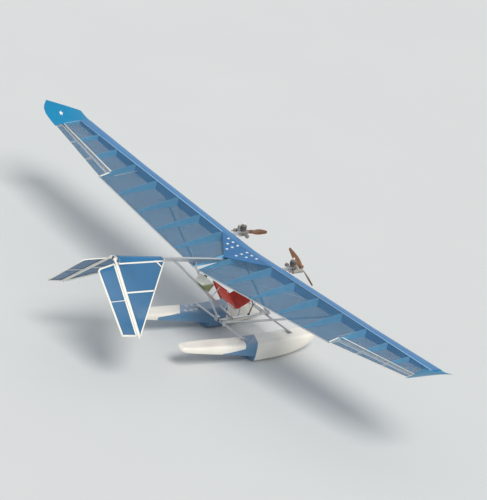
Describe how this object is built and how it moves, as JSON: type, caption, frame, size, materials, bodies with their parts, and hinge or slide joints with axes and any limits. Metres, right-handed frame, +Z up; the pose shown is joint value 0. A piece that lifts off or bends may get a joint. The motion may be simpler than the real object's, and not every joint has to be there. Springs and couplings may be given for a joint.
{
  "type": "twin-engined ultralight floatplane",
  "caption": "Strut-braced ultralight with a film-covered tapered wing, tractor propellers, square boom, inverted-V tail, open seat frame and stepped floats.",
  "frame": {"origin": "on the floor below the middle of the aircraft's box, between the float keels", "axes": "nose towards -Y, the left wing towards +X, +Z up, standing on its floats"},
  "size_m": [11.07, 5.2493, 2.3977],
  "materials": {
    "alloy_tube": "satin drawn tube",
    "clear_film": "taut translucent light blue film",
    "nose_skin": "pale blue film over a stiff nose",
    "deep_blue": "opaque blue film",
    "rib_foam": "pale foam with a film edge",
    "white_tube": "white paint on alloy tube",
    "seat_cloth": "woven red cloth",
    "tank_plastic": "milky moulded plastic",
    "black_grip": "black plastic",
    "engine_metal": "cast alloy",
    "exhaust_metal": "bright steel",
    "propeller_wood": "varnished wood",
    "float_shell": "white gel coat"
  },
  "bodies": {
    "airframe": {"boom": "alloy_tube", "keel_tube": "alloy_tube", "front_tube": "alloy_tube", "rear_brace": "alloy_tube", "frame_joints": "alloy_tube", "root_fittings": "alloy_tube", "seat_frame": "alloy_tube", "rudder_bar": "alloy_tube", "spreader_front": "alloy_tube", "spreader_rear": "alloy_tube", "wing_edge_l": "alloy_tube", "wing_edge_r": "alloy_tube", "lift_strut_l": "alloy_tube", "lift_strut_r": "alloy_tube", "engine_mount_l": "alloy_tube", "engine_mount_r": "alloy_tube", "wing_film_l": "clear_film", "wing_film_r": "clear_film", "tail_film_l": "clear_film", "tail_film_r": "clear_film", "wing_nose_l": "nose_skin", "wing_nose_r": "nose_skin", "centre_patch": "deep_blue", "tail_cover": "deep_blue", "wing_tip_l": "deep_blue", "wing_tip_r": "deep_blue", "wing_ribs_l": "rib_foam", "wing_ribs_r": "rib_foam", "tail_frame_l": "white_tube", "tail_frame_r": "white_tube", "seat_sling": "seat_cloth", "fuel_tank": "tank_plastic", "control_stick": "black_grip", "engine_l": "engine_metal", "engine_r": "engine_metal", "exhaust_l": "exhaust_metal", "exhaust_r": "exhaust_metal", "float_l": "float_shell", "float_r": "float_shell"},
    "aileron_left": {"aileron_frame_l": "white_tube", "aileron_film_l": "clear_film"},
    "aileron_right": {"aileron_frame_r": "white_tube", "aileron_film_r": "clear_film"},
    "ruddervator_left": {"ruddervator_frame_l": "white_tube", "ruddervator_film_l": "clear_film"},
    "ruddervator_right": {"ruddervator_frame_r": "white_tube", "ruddervator_film_r": "clear_film"},
    "propeller_left": {"propeller_l": "propeller_wood"},
    "propeller_right": {"propeller_r": "propeller_wood"}
  },
  "joints": [
    {"name": "aileron_left_hinge", "type": "hinge", "parent": "airframe", "child": "aileron_left", "pos_m": [3.39, -0.4875, 1.87148], "axis": [0.9904, -0.1012, 0.0938], "range_deg": [-20, 20]},
    {"name": "aileron_right_hinge", "type": "hinge", "parent": "airframe", "child": "aileron_right", "pos_m": [-3.39, -0.4875, 1.87148], "axis": [0.9904, 0.1012, -0.0938], "range_deg": [-20, 20]},
    {"name": "ruddervator_left_hinge", "type": "hinge", "parent": "airframe", "child": "ruddervator_left", "pos_m": [0.0491, 2.1653, 2.13923], "axis": [0.7248, 0.0083, -0.6889], "range_deg": [-25, 25]},
    {"name": "ruddervator_right_hinge", "type": "hinge", "parent": "airframe", "child": "ruddervator_right", "pos_m": [-0.0491, 2.1653, 2.13923], "axis": [0.7248, -0.0083, 0.6889], "range_deg": [-25, 25]},
    {"name": "propeller_left_spin", "type": "hinge", "parent": "airframe", "child": "propeller_left", "pos_m": [0.73, -1.811, 1.81391], "axis": [0, -1, 0], "continuous": true},
    {"name": "propeller_right_spin", "type": "hinge", "parent": "airframe", "child": "propeller_right", "pos_m": [-0.73, -1.811, 1.81391], "axis": [0, 1, 0], "continuous": true}
  ],
  "couplings": [
    {"joint": "aileron_right_hinge", "follows": "aileron_left_hinge", "ratio": -1}
  ]
}
